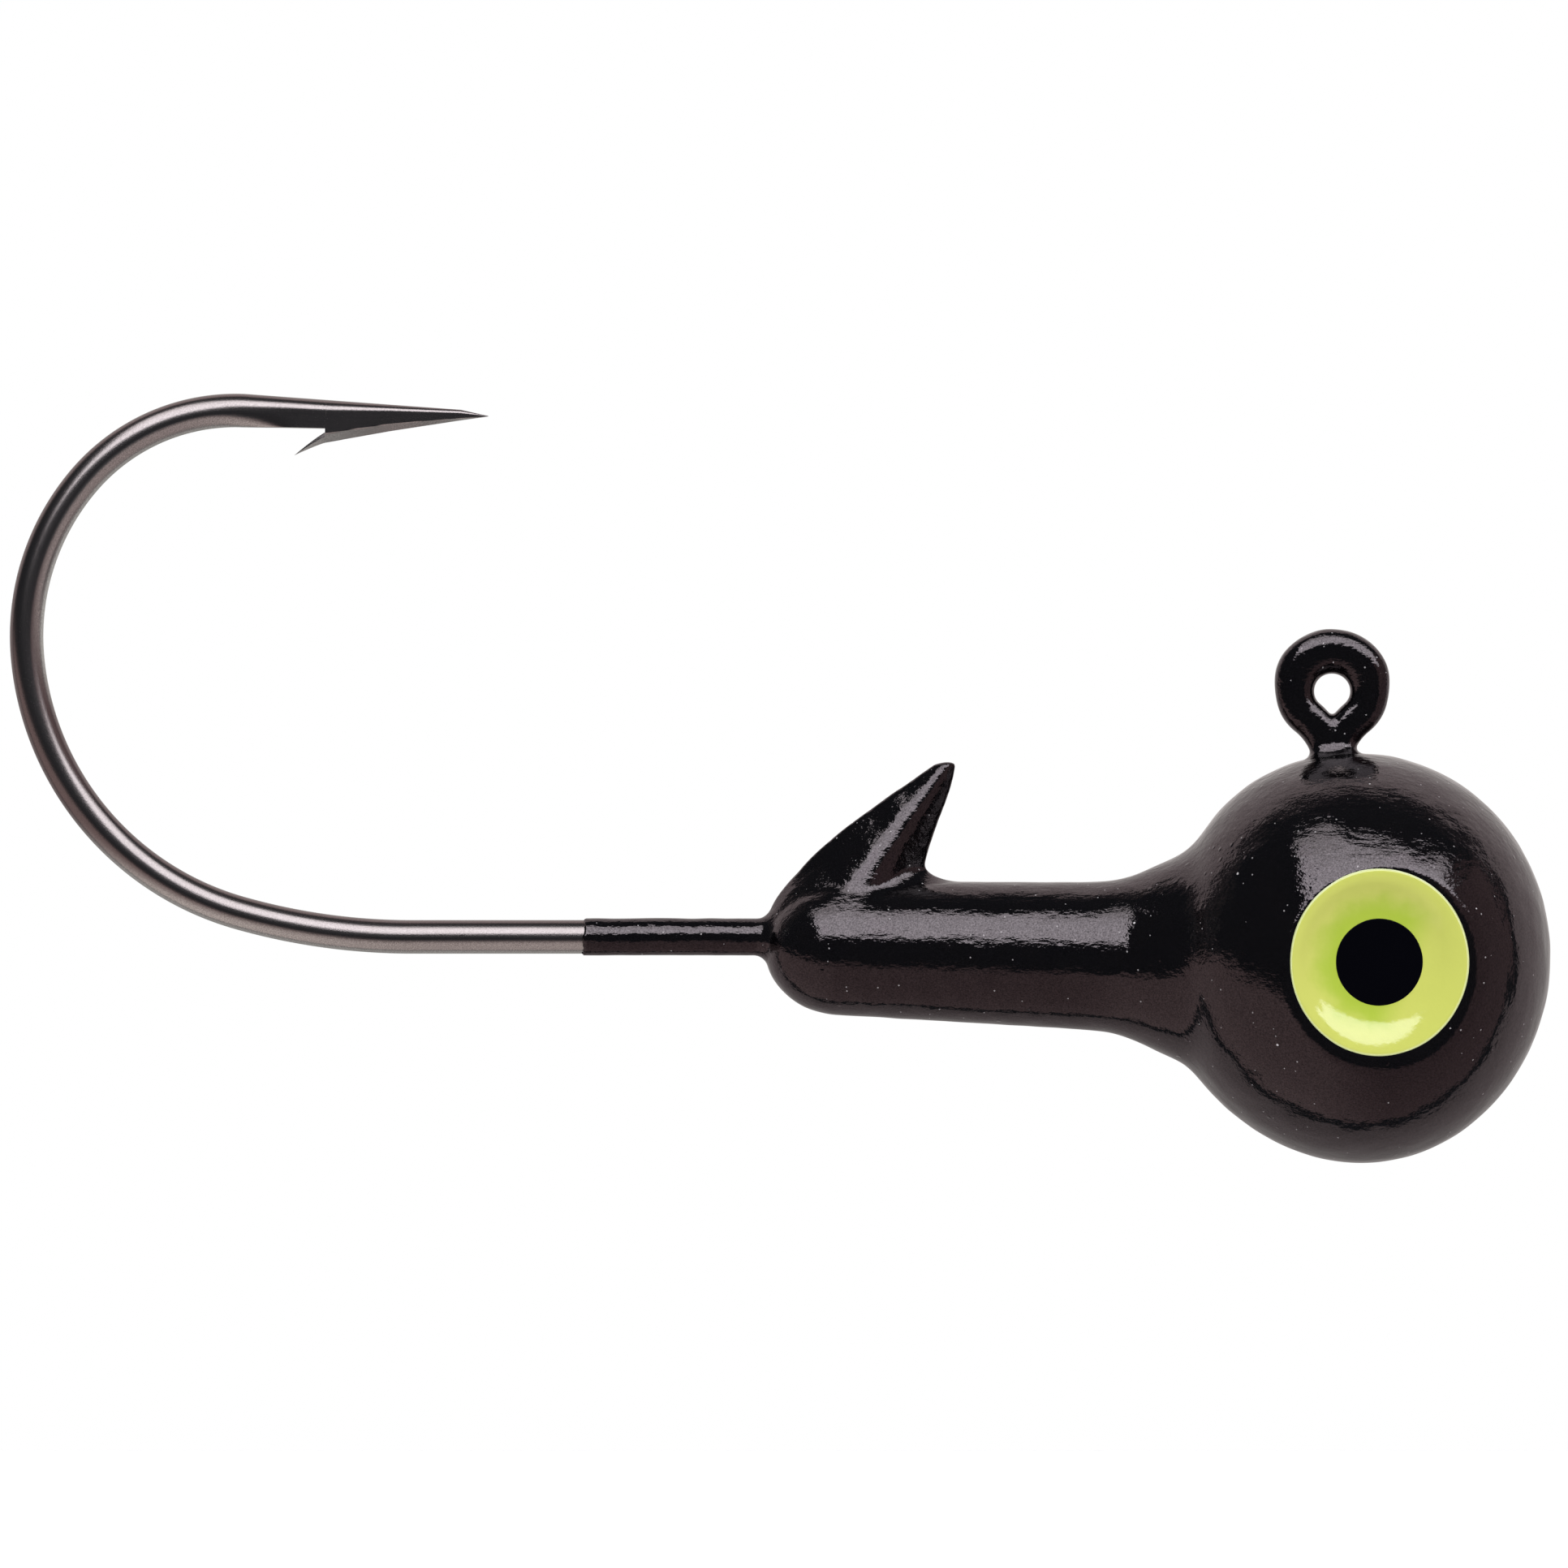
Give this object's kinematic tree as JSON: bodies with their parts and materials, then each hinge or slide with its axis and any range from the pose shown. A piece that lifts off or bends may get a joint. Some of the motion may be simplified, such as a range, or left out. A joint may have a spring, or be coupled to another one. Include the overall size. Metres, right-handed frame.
{
  "type": "jig head",
  "caption": "Round lead jig head with dished printed eyes, a bait collar with a keeper spike, and an upturned barbed hook with a line loop on top.",
  "frame": {"origin": "centre of the line eye, on the part's plane of symmetry", "axes": "+X to the front of the head, away from the hook's bend; +Y through the line eye; +Z from the shank up to the line eye and the hook point"},
  "size_m": [0.0387, 0.0096, 0.0193],
  "materials": {
    "hook_wire": "black nickel plated steel, bright",
    "lead": "as cast lead alloy, hidden under the coating",
    "coating": "gloss black powder coat",
    "eye_base": "white printed undercoat",
    "iris": "chartreuse print, gloss",
    "pupil": "black print, gloss"
  },
  "bodies": {
    "root": {"hook": "hook_wire", "lead_body": "lead", "paint_coat": "coating", "eye_base_left": "eye_base", "eye_base_right": "eye_base", "iris_left": "iris", "iris_right": "iris", "pupil_left": "pupil", "pupil_right": "pupil"}
  },
  "joints": []
}
